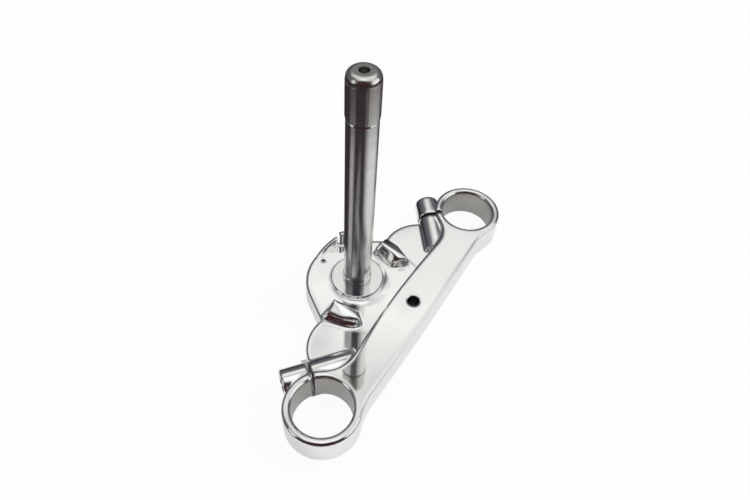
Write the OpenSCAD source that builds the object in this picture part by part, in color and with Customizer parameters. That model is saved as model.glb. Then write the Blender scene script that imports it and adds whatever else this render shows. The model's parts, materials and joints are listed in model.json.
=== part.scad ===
// Lower triple clamp of a motorcycle fork, with its pressed-in steering stem.
// The origin is on the stem's axis, in the plane of the flat underside.
// The fork tubes stand ahead of the stem, towards -Y, and +Z runs up the stem.

/* [Fork clamps] */
// Distance between the axes of the two fork tubes
fork_spacing = 248; // [232:1:264]
// Distance of the fork tubes ahead of the stem's axis
fork_offset = 48.3; // [44:0.1:52]
// Diameter of the fork tubes' bores
fork_bore_d = 49; // [46:0.1:50]
// Wall of the ring round each fork tube
ring_wall = 6.9; // [6:0.1:8]
// Height of the rings and of the bar between them
clamp_h = 30; // [28:0.5:34]
// Chamfer at both ends of a fork tube's bore
bore_chamfer = 1.8; // [1:0.1:2.2]

// Rounding of the outer edges of the rings and the bar
edge_r = 3; // [1.5:0.1:3.2]

/* [Bar between the rings] */
// Distance of the bar's front edge ahead of the stem, in the middle
bar_front = 75; // [72:0.5:77]
// Distance of the bar's rear edge ahead of the stem, in the middle
bar_rear = 40.4; // [38:0.1:42]
// How far the front edge bows back between the middle and a ring
front_bow = 1; // [0.6:0.1:2.5]
// How far the rear edge bows forward between the middle and a ring
rear_bow = 4.8; // [2:0.1:6]
// Radius of the blend from the front edge to a ring
front_blend_r = 60; // [40:1:80]
// Radius of the blend from the rear edge to a ring
rear_blend_r = 30; // [20:1:40]
// Distance of the middle hole ahead of the stem
mid_hole_y = 58; // [55:0.5:61]
// Diameter of the middle hole
mid_hole_d = 10.3; // [8:0.1:12]

/* [Pinch bosses] */
// Angle of a slit from the line between the fork tubes
slit_angle = 52; // [46:1:58]
// Width of a slit
slit_w = 2.4; // [1.5:0.1:3.5]
// Distance of a pinch bolt from the fork tube's axis
pinch_reach = 35.5; // [34.5:0.1:38]
// Diameter of a pinch boss
pinch_boss_d = 24; // [21:0.5:26]
// Reach of a pinch boss on the outer side of its slit
pinch_outer = 23.5; // [19:0.5:27]
// Reach of a pinch boss on the inner side of its slit
pinch_inner = 40; // [34:0.5:44]
// Diameter of a pinch bolt's thread
pinch_thread_d = 10; // [8:1:10]
// Depth of the threaded hole past the slit
pinch_thread_l = 26; // [20:1:30]
// Diameter of the counterbore for the bolt's head
pinch_head_d = 17; // [15:0.5:18]
// Depth of the counterbore
pinch_head_l = 7; // [4:0.5:9]

/* [Web and hub] */
// Radius of the rounded lobe behind the stem
lobe_r = 46.2; // [42:0.1:50]
// Height of the lobe at its rear edge
lobe_h = 20; // [18:0.5:22]
// Height of the web where it meets the bar
web_front_h = 16.8; // [15:0.1:18]
// Height of the two arms that run out to the pinch bosses
arm_h = 16.6; // [13:0.1:16.8]
// Radius of the arms' rounded rear edges
arm_r = 37; // [36:0.1:38]
// Rounding of the web's upper edges
web_edge_r = 2.6; // [1:0.1:2.8]
// Radius of the hub under the dust shield
hub_r = 24.2; // [20:0.1:26]
// Height of the hub's top face
hub_h = 20; // [19:0.5:22]
// Radius at the foot of the flare round the hub
flare_r = 34.3; // [30:0.1:38]
// Diameter of the small hole in the lobe
lobe_hole_d = 2.8; // [2:0.1:4]
// Distance of the small hole behind the stem
lobe_hole_y = 37; // [34:0.5:39]
// Depth of the small hole
lobe_hole_l = 8; // [4:0.5:10]

/* [Steering stops and lock ramp] */
// Height of a stop's highest corner
stop_h = 32.8; // [30:0.1:35]
// Height of a stop's outer edge
stop_rim_h = 27.4; // [25:0.1:29]
// Width of the lock ramp that follows the lobe's edge
ramp_w = 3.8; // [3:0.1:5]
// Height of the lock ramp at its high end
ramp_h = 29.5; // [26:0.5:31]
// Height of the post beside the ramp
post_h = 34; // [31:0.5:36]

/* [Stem and dust shield] */
// Diameter of the bearing seat, and of the thread at the top
stem_d = 25.4; // [24.8:0.1:27]
// Diameter of the shank between the bearing seat and the thread
shank_d = 24.6; // [23:0.1:24.7]
// Height of the stem's top above the underside
stem_top = 241; // [200:1:280]
// Length of the thread
thread_l = 31; // [20:1:50]
// Length of the bearing seat above the dust shield
seat_l = 7; // [5:0.5:20]
// Height of the rounded tip above the thread
tip_l = 5.5; // [3:0.5:7]
// Diameter of the centre hole in the tip
tip_hole_d = 8; // [5:0.1:10]
// Depth of the centre hole in the tip
tip_hole_l = 14; // [8:1:30]
// Diameter of the stem where the clamp holds it
press_d = 28; // [27.5:0.1:29]
// Diameter of the stem's head in the underside
head_d = 34; // [30:0.5:38]
// Thickness of the stem's head
head_l = 5; // [3:0.5:7]
// Diameter of the dust shield
shield_d = 46.8; // [42:0.1:48]
// Thickness of the dust shield
shield_t = 3; // [2:0.1:4]
// How much thicker the stem is inside the dust shield than on the bearing seat
land_step = 0.4; // [0.2:0.1:1]
// Gap all round between the stem and the pieces it passes through
press_gap = 0.02; // [0.01:0.01:0.05]

/* [Hidden] */
$fn = 96;
fork_x = fork_spacing / 2;
fork_y = -fork_offset;
ring_r = fork_bore_d / 2 + ring_wall;
bore_cut = 1;
function polar(c, r, a) = [c[0] + r * cos(a), c[1] + r * sin(a)];
function heading(v) = atan2(v[1], v[0]);
// Points of an arc from angle a to angle b, both ends included
function arc(c, r, a, b, steps) = [for (i = [0 : steps]) polar(c, r, a + (b - a) * i / steps)];
// The meeting point of two circles that lies to the left of the way from c1 to c2
function meet(c1, r1, c2, r2) =
    let (d = norm(c2 - c1), along = (d * d + r1 * r1 - r2 * r2) / (2 * d),
         up = sqrt(r1 * r1 - along * along), u = (c2 - c1) / d)
    c1 + along * u + up * [-u[1], u[0]];

// Bowed edges of the bar as large circles, and the centres of their blends to a ring
ring_c = [fork_x, fork_y];
bow_span = fork_x - ring_r;
front_arc_r = (bow_span * bow_span / front_bow + front_bow) / 2;
front_c = [0, front_arc_r - bar_front];
rear_arc_r = (bow_span * bow_span / rear_bow + rear_bow) / 2;
rear_c = [0, -bar_rear - rear_arc_r];
front_blend_c = meet(ring_c, ring_r + front_blend_r, front_c, front_arc_r + front_blend_r);
rear_blend_c = meet(rear_c, rear_arc_r + rear_blend_r, ring_c, ring_r + rear_blend_r);
bow_steps = 10;
blend_steps = 8;
ring_steps = 40;

function bow_end(c, r, blend_c) = c + r * (blend_c - c) / norm(blend_c - c);
front_start = heading(bow_end(front_c, front_arc_r, front_blend_c) - front_c);
rear_end = heading(bow_end(rear_c, rear_arc_r, rear_blend_c) - rear_c);
front_blend_a = heading(front_c - front_blend_c);
front_blend_b = heading(ring_c - front_blend_c);
rear_blend_a = heading(ring_c - rear_blend_c);
rear_blend_b = heading(rear_c - rear_blend_c);
ring_a = front_blend_b - 180;
ring_b = rear_blend_a + 180;

// Right half of the outline of the bar and its ring, from the front middle round to the rear middle
half_plate = concat(
    arc(front_c, front_arc_r, -90, front_start, bow_steps),
    arc(front_blend_c, front_blend_r, front_blend_a, front_blend_b, blend_steps),
    arc(ring_c, ring_r, ring_a, ring_b, ring_steps),
    arc(rear_blend_c, rear_blend_r, rear_blend_a, rear_blend_b, blend_steps),
    arc(rear_c, rear_arc_r, rear_end, 90, bow_steps));

// Fall of the web's top from the lobe's rear edge to the bar
plane_tilt = atan((lobe_h - web_front_h) / (lobe_r + bar_rear));
// Corners between the lobe and the arms, behind and at the bar
lobe_corner_r = 3;
lobe_corners = [[52, 0.4], [42, 2 - bar_rear]];
arm_c = [62, -33];

// Corners of a steering stop: its foot on the web, its outer and inner edges, and its peak
stop_foot = [[51.6, 3.2], [51.2, -3.9], [50, -10.4], [47.8, -19.2], [44.9, -25.5], [39.5, -30.2],
    [29.4, -19.1], [31.4, -11.4], [32.6, 2.6]];
stop_foot_z = 10;
stop_foot_h = 18;
stop_rim = [[48.9, -1.2], [47, -14], [40, -27.2]];
stop_inner = [[35.6, 0.8], [35.8, -22.8]];
stop_peak = [38.8, -2.2];
stop_round = 1.2;

// Angles of the lock ramp and its post round the stem
ramp_low_a = 86;
ramp_high_a = 58;
post_a = 55;
post_b = 47;
ramp_sunk = 6;
rim_inset = 0.5;

pinch_z = clamp_h / 2;
pinch_boss_r = pinch_boss_d / 2;
pinch_tap_d = 0.85 * pinch_thread_d;
pinch_clear_d = pinch_thread_d + 1;
boss_round = 1.5;
hub_foot_h = 16;
flare_drop = 3;
shield_z = hub_h;
land_top = shield_z + shield_t;
land_r = (stem_d + land_step) / 2;
seat_top = land_top + seat_l;
thread_z = stem_top - tip_l - thread_l;
press_r = press_d / 2;
shield_bore_r = land_r + press_gap;

module both_sides() {
    children();
    mirror([1, 0, 0]) children();
}

// Places its children at the right slit, with +X along the slit, away from the fork tube
module at_slit() {
    translate([fork_x, fork_y, 0]) rotate([0, 0, 180 - slit_angle]) children();
}

// The bar and the two rings, with every outer edge rounded
module plate() {
    minkowski() {
        translate([0, 0, edge_r]) linear_extrude(clamp_h - 2 * edge_r) offset(delta = -edge_r) plate_outline();
        sphere(r = edge_r, $fn = 16);
    }
}

module plate_outline() {
    polygon(concat(half_plate, [for (i = [len(half_plate) - 1 : -1 : 0]) [-half_plate[i][0], half_plate[i][1]]]));
}

// A disc whose top is at height top and has a rounded edge
module rounded_disc(r, top, low) {
    rotate_extrude()
        polygon(concat([[0, low], [r, low]], arc([r - web_edge_r, top - web_edge_r], web_edge_r, 0, 90, 4),
            [[0, top]]));
}

// The web round the stem: a round lobe behind it, flanks to the arms, and a top that falls to the bar
module lobe_block() {
    intersection() {
        translate([0, lobe_r, lobe_h]) rotate([plane_tilt, 0, 0]) translate([0, -lobe_r, 0]) hull() {
            rounded_disc(lobe_r, 0, -2 * clamp_h);
            both_sides() for (c = lobe_corners)
                translate(c) rounded_disc(lobe_corner_r, 0, -2 * clamp_h, $fn = 24);
        }
        translate([-fork_x, -fork_x, 0]) cube([2 * fork_x, 2 * fork_x, clamp_h]);
    }
}

// The arm of the web that runs out under a pinch boss: a disc that the bar and the ring cover in front
module arm() {
    translate(arm_c) rounded_disc(arm_r, arm_h, 0);
}

// Round boss across the slit, with the pinch bolt's axis along it
module pinch_boss() {
    at_slit() translate([pinch_reach, -pinch_outer, pinch_z]) rotate([-90, 0, 0])
        rotate_extrude()
            polygon(concat(
                [[0, 0], [pinch_boss_r - boss_round, 0]],
                arc([pinch_boss_r - boss_round, boss_round], boss_round, -90, 0, 6),
                [[pinch_boss_r, pinch_outer + pinch_inner], [0, pinch_outer + pinch_inner]]));
}

module pinch_cuts() {
    cut = 2 * clamp_h;
    at_slit() {
        translate([0, -slit_w / 2, -bore_cut]) cube([cut, slit_w, clamp_h + 2 * bore_cut]);
        translate([pinch_reach, -pinch_outer - bore_cut, pinch_z]) rotate([-90, 0, 0]) {
            cylinder(d = pinch_head_d, h = pinch_head_l + bore_cut);
            cylinder(d = pinch_clear_d, h = pinch_outer + bore_cut);
            cylinder(d = pinch_tap_d, h = pinch_outer + bore_cut + pinch_thread_l);
        }
    }
}

module fork_bore() {
    translate([fork_x, fork_y, -bore_cut]) cylinder(d = fork_bore_d, h = clamp_h + 2 * bore_cut);
    flare = fork_bore_d / 2 + bore_chamfer;
    for (z = [0, clamp_h])
        translate([fork_x, fork_y, z]) rotate_extrude()
            polygon([[0, -bore_chamfer], [fork_bore_d / 2, -bore_chamfer], [flare, 0],
                [fork_bore_d / 2, bore_chamfer], [0, bore_chamfer]]);
}

module stop_lug() {
    hull() {
        translate([0, 0, stop_foot_z]) linear_extrude(stop_foot_h - stop_foot_z) polygon(stop_foot);
        for (c = concat(stop_rim, stop_inner)) stop_corner(c, stop_rim_h);
        stop_corner(stop_peak, stop_h);
    }
}

module stop_corner(c, top) {
    translate([c[0], c[1], top - stop_round]) sphere(r = stop_round, $fn = 16);
}

// A stretch of upright rim that follows the lobe's edge, just inside it
module rim(low_a, high_a, top) {
    rotate([0, 0, high_a]) rotate_extrude(angle = low_a - high_a)
        translate([lobe_r - rim_inset - ramp_w, lobe_h - ramp_sunk])
            square([ramp_w, top - lobe_h + ramp_sunk]);
}

module lock_ramp() {
    run = norm(polar([0, 0], lobe_r, ramp_low_a) - polar([0, 0], lobe_r, ramp_high_a));
    climb = atan((ramp_h - lobe_h) / run);
    low_end = polar([0, 0], lobe_r, ramp_low_a);
    heading_down = (ramp_low_a + ramp_high_a) / 2 - 90;
    intersection() {
        rim(ramp_low_a + 4, ramp_high_a, ramp_h);
        translate([low_end[0], low_end[1], lobe_h]) rotate([0, 0, heading_down]) rotate([0, -climb, 0])
            translate([-clamp_h, -clamp_h, -2 * clamp_h]) cube([4 * clamp_h, 2 * clamp_h, 2 * clamp_h]);
    }
    rim(post_a, post_b, post_h);
}

// Hub under the dust shield, with a hollow flare that runs down to the web
module hub() {
    rotate_extrude()
        polygon(concat(
            [[0, hub_foot_h - 2], [flare_r, hub_foot_h - 2], [flare_r, hub_h - flare_drop]],
            [for (i = [0 : 8]) let (t = i / 8) [flare_r + (hub_r - flare_r) * t,
                hub_h - flare_drop + (flare_drop - 1) * t * t]],
            [[hub_r, hub_h], [0, hub_h]]));
}

module lower_clamp() {
    color([0.86, 0.87, 0.88]) difference() {
        union() {
            plate();
            lobe_block();
            both_sides() arm();
            hub();
            both_sides() pinch_boss();
            both_sides() stop_lug();
            lock_ramp();
        }
        both_sides() fork_bore();
        both_sides() pinch_cuts();
        translate([0, 0, -bore_cut]) cylinder(r = press_r + press_gap, h = hub_h + 2 * bore_cut);
        translate([0, 0, -bore_cut]) cylinder(d = head_d + 2 * press_gap, h = head_l + bore_cut);
        translate([0, -mid_hole_y, -bore_cut]) cylinder(d = mid_hole_d, h = clamp_h + 2 * bore_cut);
        translate([0, lobe_hole_y, lobe_h - lobe_hole_l]) cylinder(d = lobe_hole_d, h = clamp_h);
    }
}

module steering_stem() {
    step = (stem_d - shank_d) / 2;
    tip_r = stem_d / 2 - tip_l;
    color([0.62, 0.62, 0.63]) difference() {
        rotate_extrude()
            polygon(concat(
                [[0, 0], [head_d / 2 - 1, 0], [head_d / 2, 1], [head_d / 2, head_l],
                    [press_r, head_l], [press_r, hub_h], [land_r, hub_h], [land_r, land_top],
                    [stem_d / 2, land_top], [stem_d / 2, seat_top],
                    [shank_d / 2, seat_top + step], [shank_d / 2, thread_z - step],
                    [stem_d / 2, thread_z]],
                arc([tip_r, stem_top - tip_l], tip_l, 0, 90, 8),
                [[0, stem_top]]));
        translate([0, 0, stem_top - tip_hole_l]) cylinder(d = tip_hole_d, h = tip_hole_l + bore_cut);
    }
}

module dust_shield() {
    shield_r = shield_d / 2;
    edge = shield_t / 3;
    color([0.8, 0.81, 0.82]) translate([0, 0, shield_z]) rotate_extrude()
        polygon(concat(
            [[shield_bore_r, 0], [shield_r - edge, 0]],
            arc([shield_r - edge, edge], edge, -90, 0, 5),
            arc([shield_r - edge, shield_t - edge], edge, 0, 90, 5),
            [[shield_bore_r, shield_t]]));
}

lower_clamp();
steering_stem();
dust_shield();
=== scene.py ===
import json
import math

import bpy
from bpy.props import FloatProperty, FloatVectorProperty, PointerProperty
from mathutils import Matrix, Vector


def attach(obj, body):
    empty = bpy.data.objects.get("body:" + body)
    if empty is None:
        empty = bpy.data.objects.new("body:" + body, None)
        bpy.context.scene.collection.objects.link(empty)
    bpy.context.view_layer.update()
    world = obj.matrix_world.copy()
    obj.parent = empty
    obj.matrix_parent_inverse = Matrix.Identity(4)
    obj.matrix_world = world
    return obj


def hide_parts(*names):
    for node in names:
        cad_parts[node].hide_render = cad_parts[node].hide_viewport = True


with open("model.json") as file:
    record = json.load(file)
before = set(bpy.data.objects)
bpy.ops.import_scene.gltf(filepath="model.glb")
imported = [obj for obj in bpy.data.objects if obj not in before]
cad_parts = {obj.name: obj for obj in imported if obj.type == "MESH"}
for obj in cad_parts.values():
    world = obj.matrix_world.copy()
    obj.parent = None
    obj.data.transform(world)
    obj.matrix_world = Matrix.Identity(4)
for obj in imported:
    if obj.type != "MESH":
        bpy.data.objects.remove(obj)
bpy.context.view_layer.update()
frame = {"nodes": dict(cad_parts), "record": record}

bl_info = {
    "name": "Lower triple clamp",
    "version": (1, 0, 0),
    "blender": (4, 5, 0),
    "location": "3D View > Sidebar > Triple clamp",
    "description": "Polished finish, stem thread and studio for a motorcycle's lower triple clamp",
    "category": "Object",
}

MM = 0.001

# Slack in the tests that find a hole's wall or the threaded end, and the floor's drop below the part
MARGIN = 0.1 * MM

BODY = "root"
CLAMP = "lower_clamp"
STEM = "steering_stem"
SHIELD = "dust_shield"


def mount(name):
    """Returns the record's mount of that name."""
    return next(m for m in frame["record"]["mounts"] if m["name"] == name)


# Places on the clamp and the stem, taken from the record's mounts
FORK = mount("fork_clamp_right")
FORK_X, FORK_Y = FORK["pos_m"][:2]
FORK_BORE_R = FORK["dims"]["r_mm"] * MM
BOLT_X, BOLT_Y = mount("pinch_thread_right")["axis"][:2]
MIDDLE_HOLE = mount("middle_hole")
MIDDLE_HOLE_Y = MIDDLE_HOLE["pos_m"][1]
MIDDLE_HOLE_R = MIDDLE_HOLE["dims"]["r_mm"] * MM
THREAD = mount("stem_thread")
THREAD_R = THREAD["dims"]["r_mm"] * MM
THREAD_LENGTH = THREAD["dims"]["length_mm"] * MM
THREAD_FOOT = THREAD["pos_m"][2] - THREAD_LENGTH / 2

# The small blind hole in the lobe, which has no mount
LOBE_HOLE_Y = 37 * MM
LOBE_HOLE_R = 1.4 * MM


class LC_Sizes(bpy.types.PropertyGroup):
    thread_pitch: FloatProperty(
        name="Thread pitch", description="Distance between two turns of the stem's thread",
        default=1.06 * MM, min=0.8 * MM, max=2 * MM, precision=5, unit="LENGTH", subtype="DISTANCE")
    thread_depth: FloatProperty(
        name="Thread depth", description="Depth of the stem's thread",
        default=0.22 * MM, min=0.15 * MM, max=1 * MM, precision=5, unit="LENGTH", subtype="DISTANCE")
    slit_width: FloatProperty(
        name="Slit width", description="Width of the sawn slit in each ring, whose walls are left dull",
        default=2.4 * MM, min=1 * MM, max=5 * MM, precision=5, unit="LENGTH", subtype="DISTANCE")
    edge_round: FloatProperty(
        name="Edge round", description="Reach over which the polish softens the clamp's edges",
        default=4.5 * MM, min=0.5 * MM, max=6 * MM, precision=5, unit="LENGTH", subtype="DISTANCE")
    floor_size: FloatProperty(
        name="Floor size", description="Side of the pale studio floor",
        default=8.0, min=2.0, max=20.0, unit="LENGTH", subtype="DISTANCE")


class LC_Looks(bpy.types.PropertyGroup):
    aluminium: FloatVectorProperty(
        name="Polished aluminium", description="Colour of the polished clamp",
        default=(0.92, 0.925, 0.91), min=0, max=1, subtype="COLOR")
    bore_metal: FloatVectorProperty(
        name="Machined bore", description="Colour of the bored walls in the rings",
        default=(0.50, 0.49, 0.47), min=0, max=1, subtype="COLOR")
    # Its near-black colour on the slits' walls and in the drilled holes is painted shade
    sawn_metal_and_shade: FloatVectorProperty(
        name="Sawn metal", description="Colour of the slits' walls and of the drilled holes",
        default=(0.10, 0.09, 0.10), min=0, max=1, subtype="COLOR")
    stem_steel: FloatVectorProperty(
        name="Stem steel", description="Colour of the turned stem",
        default=(0.82, 0.82, 0.80), min=0, max=1, subtype="COLOR")
    thread_steel: FloatVectorProperty(
        name="Thread steel", description="Colour of the oiled thread",
        default=(0.80, 0.79, 0.75), min=0, max=1, subtype="COLOR")
    shield_steel: FloatVectorProperty(
        name="Shield steel", description="Colour of the polished dust shield",
        default=(0.82, 0.82, 0.81), min=0, max=1, subtype="COLOR")


class Socket:
    """A shader socket that adds Math nodes to its tree when it is used in sums."""

    def __init__(self, tree, socket):
        self.tree, self.socket = tree, socket

    def math(self, operation, *values):
        return self.tree.node("ShaderNodeMath", {"operation": operation}, dict(enumerate(values)))

    def __add__(self, other):
        return self.math("ADD", self, other)

    __radd__ = __add__

    def __sub__(self, other):
        return self.math("SUBTRACT", self, other)

    def __rsub__(self, other):
        return self.math("SUBTRACT", other, self)

    def __mul__(self, other):
        return self.math("MULTIPLY", self, other)

    __rmul__ = __mul__

    def __truediv__(self, other):
        return self.math("DIVIDE", self, other)

    def over(self, edge):
        return self.math("GREATER_THAN", self, edge)

    def under(self, edge):
        return self.math("LESS_THAN", self, edge)

    def size(self):
        return self.math("ABSOLUTE", self)

    def either(self, other):
        return self.math("MAXIMUM", self, other)

    def root(self):
        return self.math("SQRT", self)

    def rise(self, low, high):
        """Goes smoothly from 0 at low to 1 at high."""
        inputs = {"Value": self, "From Min": low, "From Max": high}
        return self.tree.node("ShaderNodeMapRange", {"interpolation_type": "SMOOTHSTEP"}, inputs)


# The Mix node's sockets for colours
MIX_FACTOR, MIX_LOW, MIX_HIGH, MIX_RESULT = 0, 6, 7, 2


class Tree:
    """Adds nodes to one node tree, with their settings before their inputs."""

    def __init__(self, owner):
        owner.use_nodes = True
        self.owner, self.nodes, self.links = owner, owner.node_tree.nodes, owner.node_tree.links
        self.nodes.clear()

    def add(self, kind, settings=None, inputs=None):
        added = self.nodes.new(kind)
        for key, value in (settings or {}).items():
            if key == "stops":
                self.fill_ramp(added.color_ramp.elements, value)
            else:
                setattr(added, key, value)
        for key, value in (inputs or {}).items():
            self.feed(added.inputs[key], value)
        return added

    def node(self, kind, settings=None, inputs=None, output=0):
        """Adds a node and returns one of its outputs."""
        return Socket(self, self.add(kind, settings, inputs).outputs[output])

    def fill_ramp(self, elements, stops):
        while len(elements) < len(stops):
            elements.new(0.5)
        for element, (place, level) in zip(elements, stops):
            element.position = place
            element.color = (level, level, level, 1)

    def feed(self, socket, value):
        if isinstance(value, Socket):
            self.links.new(value.socket, socket)
        elif socket.type == "RGBA":
            socket.default_value = (*value[:3], 1)
        else:
            socket.default_value = value

    def split(self, vector):
        """The three parts of a vector."""
        parts = self.add("ShaderNodeSeparateXYZ", None, {"Vector": vector})
        return [Socket(self, output) for output in parts.outputs]

    def place(self):
        return self.node("ShaderNodeTexCoord", output="Object")

    def axes(self):
        return self.split(self.place())

    def noise(self, scale, detail=2.0, stretch=(1, 1, 1)):
        spot = self.node("ShaderNodeMapping", None, {"Vector": self.place(), "Scale": stretch})
        return self.node("ShaderNodeTexNoise", None, {"Vector": spot, "Scale": scale, "Detail": detail})

    def mix(self, mask, low, high):
        inputs = {MIX_FACTOR: mask, MIX_LOW: low, MIX_HIGH: high}
        return self.node("ShaderNodeMix", {"data_type": "RGBA"}, inputs, MIX_RESULT)

    def bump(self, height, distance, strength=1.0, normal=None):
        inputs = {"Height": height, "Distance": distance, "Strength": strength}
        if normal is not None:
            inputs["Normal"] = normal
        return self.node("ShaderNodeBump", None, inputs)

    def metal(self, colour, roughness, normal):
        """Ends the tree in a metal of that colour, roughness and normal."""
        inputs = {"Base Color": colour, "Metallic": 1.0, "Roughness": roughness, "Normal": normal}
        shader = self.node("ShaderNodeBsdfPrincipled", None, inputs)
        self.add("ShaderNodeOutputMaterial", None, {"Surface": shader})
        return self.owner


def new_tree(name):
    return Tree(bpy.data.materials.new(name))


def darker(colour, share):
    return [share * part for part in colour]


def reach_of(x, y):
    """Distance from the point at 0, 0."""
    return (x * x + y * y).root()


def from_fork(x, y):
    """Distance from the nearer fork tube's axis, and the same across and along its slit."""
    off_x, off_y = x.size() - FORK_X, y - FORK_Y
    return reach_of(off_x, off_y), off_x * BOLT_X + off_y * BOLT_Y, off_y * BOLT_X - off_x * BOLT_Y


MIRROR_ROUGHNESS = 0.03
SATIN_ROUGHNESS = 0.27
DULL_ROUGHNESS = 0.4
UNDERSIDE_Z = 0.2 * MM
EDGE_SAMPLES = 16
WAVE_HEIGHT = 0.12 * MM
SCRATCH_HEIGHT = 0.004 * MM
TOOL_MARK_HEIGHT = 0.03 * MM


def polished_aluminium(looks, sizes):
    """Mirror polish on the forging, satin bores and underside, and matt slits and small holes whose
    near-black colour is painted shade.
    """
    tree = new_tree("polished_aluminium")
    x, y, z = tree.axes()
    reach, across, along = from_fork(x, y)
    bored = reach.under(FORK_BORE_R + MARGIN)
    sawn = across.size().under(sizes.slit_width / 2 + MARGIN / 2) * along.over(FORK_BORE_R)
    drilled = reach_of(x, y - MIDDLE_HOLE_Y).under(MIDDLE_HOLE_R + MARGIN)
    pricked = reach_of(x, y - LOBE_HOLE_Y).under(LOBE_HOLE_R + MARGIN)
    # Slit walls and small holes: matt in roughness, and painted near-black as shade in colour
    dull_and_shaded = sawn.either(drilled).either(pricked)
    satin = bored.either(z.under(UNDERSIDE_Z))
    haze = tree.noise(22, 3).rise(0.35, 0.75)
    smears = tree.noise(60, 4, (1, 1, 0.4)).rise(0.45, 0.8)
    tool_marks = tree.noise(1, 2, (30, 30, 2600))
    waves = tree.noise(14, 1)
    scratches = tree.noise(1, 2, (900, 120, 500))
    tint = tree.mix(haze * 0.5, looks.aluminium, darker(looks.aluminium, 0.97))
    machined = tree.mix(tool_marks, looks.bore_metal, darker(looks.bore_metal, 0.85))
    # The near-black colour in the slits and holes is painted shade
    colour = tree.mix(dull_and_shaded, tree.mix(satin, tint, machined), looks.sawn_metal_and_shade)
    polish = MIRROR_ROUGHNESS * (1 + haze + smears)
    roughness = polish + SATIN_ROUGHNESS * satin + DULL_ROUGHNESS * dull_and_shaded
    edges = tree.node("ShaderNodeBevel", {"samples": EDGE_SAMPLES}, {"Radius": sizes.edge_round})
    rippled = tree.bump(waves, WAVE_HEIGHT, 0.5, edges)
    scratched = tree.bump(scratches, SCRATCH_HEIGHT, 0.5, rippled)
    normal = tree.bump(tool_marks * satin, TOOL_MARK_HEIGHT, 1.0, scratched)
    return tree.metal(colour, roughness, normal)


STEM_ROUGHNESS = 0.15
THREAD_START = (THREAD_FOOT - 0.3 * MM, THREAD_FOOT + 0.3 * MM)
RELIEF = (THREAD_FOOT - 2.6 * MM, THREAD_FOOT - 0.4 * MM)
RELIEF_DEPTH = 0.9 * MM
TURNING_HEIGHT = 0.035 * MM


def turned_steel(looks):
    """Turned stem: fine rings round it, a darker thread and a bright hollow at the thread's foot."""
    tree = new_tree("turned_steel")
    height = tree.axes()[2]
    threaded = height.rise(*THREAD_START)
    rings = tree.noise(1, 3, (25, 25, 3800))
    bands = tree.noise(1, 2, (6, 6, 160)).rise(0.3, 0.7)
    stains = tree.noise(45, 4).rise(0.5, 0.8)
    steel = tree.mix(0.35 * bands + 0.25 * stains, looks.stem_steel, darker(looks.stem_steel, 0.82))
    thread = tree.mix(stains, looks.thread_steel, darker(looks.thread_steel, 0.7))
    colour = tree.mix(threaded, steel, thread)
    roughness = STEM_ROUGHNESS + 0.06 * bands + 0.05 * stains + 0.03 * threaded
    hollowed = tree.bump(1 - height.rise(*RELIEF), RELIEF_DEPTH)
    return tree.metal(colour, roughness, tree.bump(rings, TURNING_HEIGHT, 1.0, hollowed))


SHIELD_ROUGHNESS = 0.06
SHIELD_RINGS_PER_M = 2600
SHIELD_RING_HEIGHT = 0.004 * MM


def shield_steel(looks):
    """Polished washer with faint turning rings."""
    tree = new_tree("shield_steel")
    x, y = tree.axes()[:2]
    ring = reach_of(x, y) * SHIELD_RINGS_PER_M
    rings = tree.node("ShaderNodeTexNoise", {"noise_dimensions": "1D"}, {"W": ring, "Scale": 1.0})
    haze = tree.noise(40, 3).rise(0.3, 0.8)
    colour = tree.mix(haze, looks.shield_steel, darker(looks.shield_steel, 0.94))
    return tree.metal(colour, SHIELD_ROUGHNESS + 0.05 * haze, tree.bump(rings, SHIELD_RING_HEIGHT, 0.6))


def deselect():
    if bpy.context.mode != "OBJECT":
        bpy.ops.object.mode_set(mode="OBJECT")
    bpy.ops.object.select_all(action="DESELECT")


def activate(piece):
    deselect()
    piece.select_set(True)
    bpy.context.view_layer.objects.active = piece


MERGE_GAP = 0.002 * MM


def merged_copy(node, name):
    """A copy of a CAD node's mesh, with its loose triangles joined."""
    source = frame["nodes"][node]
    piece = bpy.data.objects.new(name, source.data.copy())
    bpy.context.scene.collection.objects.link(piece)
    activate(piece)
    bpy.ops.object.mode_set(mode="EDIT")
    bpy.ops.mesh.select_all(action="SELECT")
    bpy.ops.mesh.remove_doubles(threshold=MERGE_GAP)
    bpy.ops.object.mode_set(mode="OBJECT")
    return piece


# A flat surface narrower than the strip width is one strip of a rounded edge. The limits, in degrees,
# are the angles up to which strips and wide surfaces shade as one with their neighbours. Faces whose
# normals and distances from the origin round to the same steps count as one surface.
STRIP_WIDTH = 1.6 * MM
STRIP_LIMIT = 35
WIDE_LIMIT = 9
NORMAL_STEPS = 200
DISTANCE_STEP = 0.1 * MM


def plane_of(face):
    """A key that all faces of one flat surface share."""
    normal = tuple(round(part * NORMAL_STEPS) for part in face.normal)
    return normal + (round(face.center.dot(face.normal) / DISTANCE_STEP),)


def flat_surfaces(mesh):
    """The area of each flat surface, and whether it is wide or one strip of a rounded edge."""
    areas = {}
    corners = {}
    for face in mesh.polygons:
        key = plane_of(face)
        areas[key] = areas.get(key, 0) + face.area
        corners.setdefault(key, []).extend(mesh.vertices[corner].co for corner in face.vertices)
    wide = {}
    for key, points in corners.items():
        low = Vector([min(point[axis] for point in points) for axis in range(3)])
        high = Vector([max(point[axis] for point in points) for axis in range(3)])
        wide[key] = areas[key] / (high - low).length > STRIP_WIDTH
    return areas, wide


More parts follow.
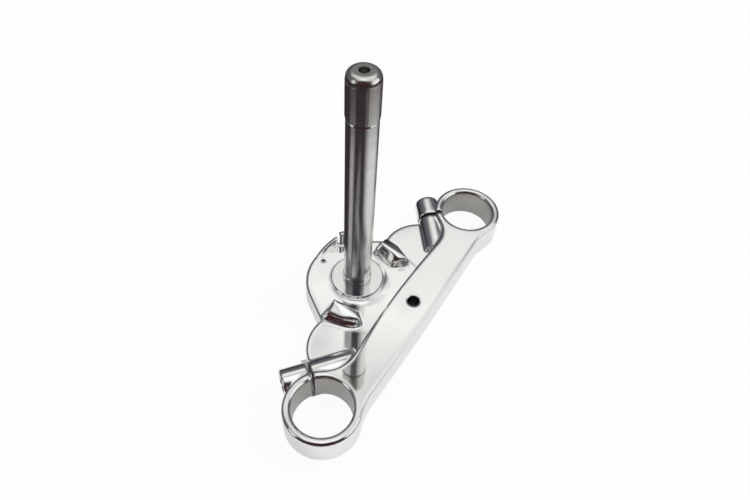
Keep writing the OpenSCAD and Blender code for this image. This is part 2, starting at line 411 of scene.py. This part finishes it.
def smooth(piece):
    """Smooth shading in which a wide flat surface keeps its own normal up to its rounded edges."""
    mesh = piece.data
    mesh.shade_smooth()
    areas, wide = flat_surfaces(mesh)
    around = [[] for vertex in mesh.vertices]
    for face in mesh.polygons:
        key = plane_of(face)
        for corner in face.vertices:
            around[corner].append((face.normal.copy(), areas[key] ** 2, wide[key]))
    normals = []
    for face in mesh.polygons:
        is_wide = wide[plane_of(face)]
        limit = math.cos(math.radians(WIDE_LIMIT if is_wide else STRIP_LIMIT))
        for corner in face.vertices:
            total = Vector()
            for normal, weight, other_wide in around[corner]:
                if normal.dot(face.normal) > limit and (other_wide or not is_wide):
                    total += normal * weight
            normals.append(total.normalized() if total.length > 0 else face.normal.copy())
    mesh.normals_split_custom_set(normals)


def finish_piece(piece, material, slot, *nodes):
    """Shades a piece, gives it its metal and lets it stand in for its CAD nodes."""
    smooth(piece)
    piece.data.materials.clear()
    piece.data.materials.append(material)
    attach(piece, BODY)
    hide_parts(*nodes)


class LC_OT_clamp(bpy.types.Operator):
    """Polish the forged clamp"""
    bl_idname = "lc.clamp"
    bl_label = "Polished clamp"

    def execute(self, context):
        clamp = merged_copy(CLAMP, "polished_clamp")
        metal = polished_aluminium(context.scene.lc_looks, context.scene.lc_sizes)
        finish_piece(clamp, metal, "polished_aluminium", CLAMP)
        return {"FINISHED"}


class LC_OT_shield(bpy.types.Operator):
    """Finish the dust shield"""
    bl_idname = "lc.shield"
    bl_label = "Dust shield"

    def execute(self, context):
        shield = merged_copy(SHIELD, "polished_shield")
        finish_piece(shield, shield_steel(context.scene.lc_looks), "shield_steel", SHIELD)
        return {"FINISHED"}


CREST_SHARE = 0.84
TURN_STEPS = 36
SINK = 0.01 * MM
CENTRE = (0, 0, 0)


def turn_down(stem, root_r):
    """Scales the stem across by the share of the thread's root in its outer radius.

    Only the threaded end is meant. But merged_copy leaves all edges and faces selected, so edit mode
    selects every vertex, and the whole stem comes out thinner than its solid by the same share.
    """
    activate(stem)
    for vertex in stem.data.vertices:
        outside = Vector(vertex.co[:2]).length > THREAD_R - MARGIN
        vertex.select = outside and vertex.co.z > THREAD_FOOT - MARGIN
    bpy.ops.object.mode_set(mode="EDIT")
    bpy.ops.transform.resize(value=(root_r / THREAD_R, root_r / THREAD_R, 1), center_override=CENTRE)
    bpy.ops.object.mode_set(mode="OBJECT")


def thread_turns(root_r, pitch, depth):
    """A rectangular section wound up the stem, sunk a little into the thread's root."""
    crest = CREST_SHARE * pitch
    deselect()
    bpy.ops.mesh.primitive_plane_add(size=1, location=CENTRE, rotation=(math.radians(90), 0, 0))
    turns = bpy.context.object
    bpy.ops.object.transform_apply(rotation=True)
    bpy.ops.object.mode_set(mode="EDIT")
    bpy.ops.mesh.select_all(action="SELECT")
    bpy.ops.mesh.delete(type="ONLY_FACE")
    bpy.ops.mesh.select_all(action="SELECT")
    bpy.ops.transform.resize(value=(2 * depth, 1, crest), center_override=CENTRE)
    bpy.ops.transform.translate(value=(root_r - SINK, 0, THREAD_FOOT + crest))
    bpy.ops.object.mode_set(mode="OBJECT")
    screw = turns.modifiers.new("turns", "SCREW")
    screw.screw_offset = pitch
    screw.iterations = int((THREAD_LENGTH - 2 * crest) / pitch)
    screw.steps = screw.render_steps = TURN_STEPS
    bpy.ops.object.modifier_apply(modifier="turns")
    bpy.ops.object.mode_set(mode="EDIT")
    bpy.ops.mesh.select_all(action="SELECT")
    bpy.ops.mesh.fill_holes(sides=4)
    bpy.ops.mesh.normals_make_consistent(inside=False)
    bpy.ops.object.mode_set(mode="OBJECT")


def cut_thread(stem, pitch, depth):
    """Turns the stem down to the thread's root and lays the thread's turns round its end."""
    root_r = THREAD_R - depth
    turn_down(stem, root_r)
    thread_turns(root_r, pitch, depth)
    stem.select_set(True)
    bpy.context.view_layer.objects.active = stem
    bpy.ops.object.join()


class LC_OT_stem(bpy.types.Operator):
    """Finish the turned stem and cut its thread"""
    bl_idname = "lc.stem"
    bl_label = "Turned stem"

    def execute(self, context):
        sizes = context.scene.lc_sizes
        stem = merged_copy(STEM, "turned_stem")
        cut_thread(stem, sizes.thread_pitch, sizes.thread_depth)
        finish_piece(stem, turned_steel(context.scene.lc_looks), "turned_steel", STEM)
        return {"FINISHED"}


CAMERA_PLACE = (-0.2984, -0.1815, 0.4824)
CAMERA_HEADING = 61.08
CAMERA_FALL = 50.35
CAMERA_ROLL = 3.84
CAMERA_LENS = 30.61
SENSOR_WIDTH = 36
NEAREST_SEEN = 0.01


def add_camera():
    """A camera at the photograph's place, angle and lens."""
    data = bpy.data.cameras.new("camera")
    data.sensor_width = SENSOR_WIDTH
    data.lens = CAMERA_LENS
    data.clip_start = NEAREST_SEEN
    camera = bpy.data.objects.new("camera", data)
    turn = Matrix.Rotation(math.radians(-CAMERA_HEADING), 4, "Z")
    fall = Matrix.Rotation(math.radians(90 - CAMERA_FALL), 4, "X")
    roll = Matrix.Rotation(math.radians(CAMERA_ROLL), 4, "Z")
    camera.matrix_world = Matrix.Translation(CAMERA_PLACE) @ turn @ fall @ roll
    bpy.context.scene.collection.objects.link(camera)
    bpy.context.scene.camera = camera


PANEL_AIM = (0, 0, 0.05)
KEY_PLACE, KEY_SIDE, KEY_POWER = (0.9, -0.9, 1.5), 0.9, 14
FILL_PLACE, FILL_SIDE, FILL_POWER = (-1.2, 0.9, 1.3), 1.0, 6


def add_panel(name, place, side, power):
    """A soft square lamp at a place, turned to the part and not mirrored in it."""
    data = bpy.data.lights.new(name, "AREA")
    data.shape = "SQUARE"
    data.size = side
    data.energy = power
    lamp = bpy.data.objects.new(name, data)
    lamp.location = place
    lamp.visible_glossy = False
    lamp.rotation_euler = (Vector(PANEL_AIM) - Vector(place)).to_track_quat("-Z", "Y").to_euler()
    bpy.context.scene.collection.objects.link(lamp)


# Keeps the length of a straight upward direction's level part from being zero
NOT_ZERO = 0.000001

# Level directions of what stands round the stage, and how squarely a direction must face each
FRONT_SIDE = (0.326, -0.946)
LINE_SIDE = (-0.829, 0.559)
ROOM_SIDE = (-0.875, -0.484)
WALL_SIDE = (-0.996, -0.087)
FRONT_WINDOW = (0.86, 0.95)
LINE_WINDOW = (0.975, 0.993)
WALL_EDGE = (-0.17, 0.26)
ROOM_EDGE = (0.45, 0.75)
DOORWAY_EDGE = (0.72, 0.90)

# Their tops, and the lamp overhead, as heights in a direction of length 1
WINDOW_TOP = 0.60
WALL_TOP = 0.86
ROOM_TOP = (0.62, 0.72)
DOORWAY_TOP = 0.93
OVERHEAD = (0.95, 0.99)

# The sky's grey from straight down, at 0, to straight up, at 1
SKY_LEVELS = [
    (0.0, 0.70), (0.49, 0.60), (0.50, 0.05), (0.56, 0.05), (0.62, 0.10), (0.76, 0.13), (0.80, 0.18),
    (0.84, 0.44), (0.868, 0.84), (0.88, 0.90), (0.90, 0.90), (0.915, 1.0), (0.932, 0.84), (0.96, 0.74),
    (1.0, 0.85)]
SKY_DARK = (0.005, 0.0, 0.02)
SKY_PALE = (1.0, 1.0, 0.985)
DARK_WALL = (0.125, 0.13, 0.145)
DARK_DOORWAY = (0.035, 0.035, 0.045)
DARK_ROOM = (0.050, 0.018, 0.020)
LAMP_WHITE = (1.3, 1.3, 1.3)
WHITE = (1, 1, 1)
WINDOW_SHARE = 0.8
OVERHEAD_SHARE = 0.6
CLOUD_SHARE = 0.22


def facing(x, y, side):
    """How far a level direction agrees with a side, from -1 to 1."""
    return (x * side[0] + y * side[1]) / (x * x + y * y + NOT_ZERO).root()


def studio_world():
    """White above, dark near the horizon, with windows, a wall, a doorway and a dark room round it."""
    world = bpy.context.scene.world or bpy.data.worlds.new("world")
    bpy.context.scene.world = world
    tree = Tree(world)
    direction = tree.node("ShaderNodeTexCoord", output="Generated")
    x, y, z = tree.split(direction)
    level = tree.node("ShaderNodeValToRGB", {"stops": SKY_LEVELS}, {"Fac": z * 0.5 + 0.5})
    front_window = facing(x, y, FRONT_SIDE).rise(*FRONT_WINDOW)
    line_window = facing(x, y, LINE_SIDE).rise(*LINE_WINDOW)
    windows = front_window.either(line_window) * z.over(0) * z.under(WINDOW_TOP)
    lamp = WINDOW_SHARE * windows + OVERHEAD_SHARE * z.rise(*OVERHEAD)
    cloud = tree.node("ShaderNodeTexNoise", None, {"Vector": direction, "Scale": 7.0, "Detail": 3.0})
    sky = tree.mix(level, SKY_DARK, SKY_PALE)
    clouded = tree.mix(CLOUD_SHARE * cloud.rise(0.48, 0.68), sky, DARK_WALL)
    wall = facing(x, y, WALL_SIDE).rise(*WALL_EDGE) * z.under(WALL_TOP)
    room_side = facing(x, y, ROOM_SIDE)
    doorway = room_side.rise(*DOORWAY_EDGE) * z.under(DOORWAY_TOP)
    room = room_side.rise(*ROOM_EDGE) * (1 - z.rise(*ROOM_TOP))
    walled = tree.mix(doorway, tree.mix(wall, clouded, DARK_WALL), DARK_DOORWAY)
    mirrored = tree.mix(lamp, tree.mix(room, walled, DARK_ROOM), LAMP_WHITE)
    to_camera = tree.node("ShaderNodeLightPath", output="Is Camera Ray")
    light = tree.node("ShaderNodeBackground", None, {"Color": tree.mix(to_camera, mirrored, WHITE)})
    tree.add("ShaderNodeOutputWorld", None, {"Surface": light})


# The painted lit stretches of the floor, which only the metal's mirror sees: their edges, where they
# fade and end, and how bright they are
LIT_FRONT = (0.5, 0.98)
LIT_LINE = (0.93, 0.995)
PAPER_FADE = (0.215, 0.255)
PAPER_REACH = 0.34
FRONT_FADE = 0.45
LINE_SHARE = 0.6
LINE_FADE = 0.5

# The floor close under the metal, and its own glow there, which is painted light that only the metal's
# mirror sees, and towards the viewer
CLOSE = (41 * MM, 52 * MM)
CLOSE_GLOW = 0.45
VIEW_GLOW = 0.94
PAPER_LOW, PAPER_HIGH = (0.93, 0.93, 0.93), (0.95, 0.95, 0.95)
# The paper's painted shade, which the mirror sees away from the lit stretches and the close floor
PAPER_PAINTED_SHADE = (0.05, 0.04, 0.045)

# The floor under each slit, left in shade: across the slit, and its far end along it
SHADE_FROM, SHADE_TO = -14 * MM, 1.5 * MM
SHADE_END = 60 * MM


def floor_paper():
    """White paper to look at, which the metal mirrors close by and in two painted lit stretches, and
    elsewhere sees painted dark as shade.
    """
    tree = new_tree("floor_paper")
    x, y = tree.axes()[:2]
    reach = reach_of(x, y)
    path = tree.add("ShaderNodeLightPath")
    names = ("Is Camera Ray", "Is Glossy Ray", "Ray Length")
    to_camera, mirrored, length = [Socket(tree, path.outputs[name]) for name in names]
    faded = reach.rise(*PAPER_FADE)
    front = facing(x, y, FRONT_SIDE).rise(*LIT_FRONT) * (1 - FRONT_FADE * faded)
    line = facing(x, y, LINE_SIDE).rise(*LIT_LINE) * (LINE_SHARE - LINE_FADE * faded)
    lit = front.either(line) * reach.under(PAPER_REACH)
    close = 1 - length.rise(*CLOSE)
    pale = tree.mix(tree.noise(30, 3), PAPER_LOW, PAPER_HIGH)
    # In the mirror the paper is painted dark as shade, save in the painted lit stretches and close
    # under the metal
    colour = tree.mix(mirrored * (1 - lit.either(close)), pale, PAPER_PAINTED_SHADE)
    paper = tree.node("ShaderNodeBsdfDiffuse", None, {"Color": colour})
    white = tree.node("ShaderNodeEmission", None, {"Color": WHITE})
    across, along = from_fork(x, y)[1:]
    beside_slit = across.over(SHADE_FROM) * across.under(SHADE_TO)
    shaded = beside_slit * along.over(FORK_BORE_R) * along.under(SHADE_END)
    # The glow close under the metal is painted light in the mirror; the glow towards the viewer keeps
    # the floor white
    glow = to_camera * VIEW_GLOW * (1 - shaded) + mirrored * close * CLOSE_GLOW
    shader = tree.node("ShaderNodeMixShader", None, {0: glow, 1: paper, 2: white})
    tree.add("ShaderNodeOutputMaterial", None, {"Surface": shader})
    return tree.owner


class LC_OT_stage(bpy.types.Operator):
    """Set up the pale floor, the soft lamps and the camera"""
    bl_idname = "lc.stage"
    bl_label = "Studio"

    def execute(self, context):
        deselect()
        floor_size = context.scene.lc_sizes.floor_size
        bpy.ops.mesh.primitive_plane_add(size=floor_size, location=(0, 0, -MARGIN))
        floor = context.object
        floor.name = "floor"
        floor.data.materials.append(floor_paper())
        studio_world()
        add_panel("key_panel", KEY_PLACE, KEY_SIDE, KEY_POWER)
        add_panel("fill_panel", FILL_PLACE, FILL_SIDE, FILL_POWER)
        add_camera()
        context.scene.view_settings.view_transform = "Standard"
        return {"FINISHED"}


class LC_PT_panel(bpy.types.Panel):
    """Lists the clamp's sizes, colours and pieces"""
    bl_idname = "LC_PT_panel"
    bl_label = "Triple clamp"
    bl_space_type = "VIEW_3D"
    bl_region_type = "UI"
    bl_category = "Triple clamp"

    def draw(self, context):
        for group in (context.scene.lc_sizes, context.scene.lc_looks):
            for name in group.bl_rna.properties.keys():
                if name not in ("rna_type", "name"):
                    self.layout.prop(group, name)
        for operator in OPERATORS:
            self.layout.operator(operator.bl_idname)


OPERATORS = (LC_OT_stage, LC_OT_clamp, LC_OT_shield, LC_OT_stem)
CLASSES = (LC_Sizes, LC_Looks, *OPERATORS, LC_PT_panel)


def register():
    for each in CLASSES:
        bpy.utils.register_class(each)
    bpy.types.Scene.lc_sizes = PointerProperty(type=LC_Sizes)
    bpy.types.Scene.lc_looks = PointerProperty(type=LC_Looks)


def unregister():
    del bpy.types.Scene.lc_looks
    del bpy.types.Scene.lc_sizes
    for each in reversed(CLASSES):
        bpy.utils.unregister_class(each)


def main():
    register()
    bpy.ops.lc.stage()
    bpy.ops.lc.clamp()
    bpy.ops.lc.shield()
    bpy.ops.lc.stem()


if __name__ == "__main__":
    main()
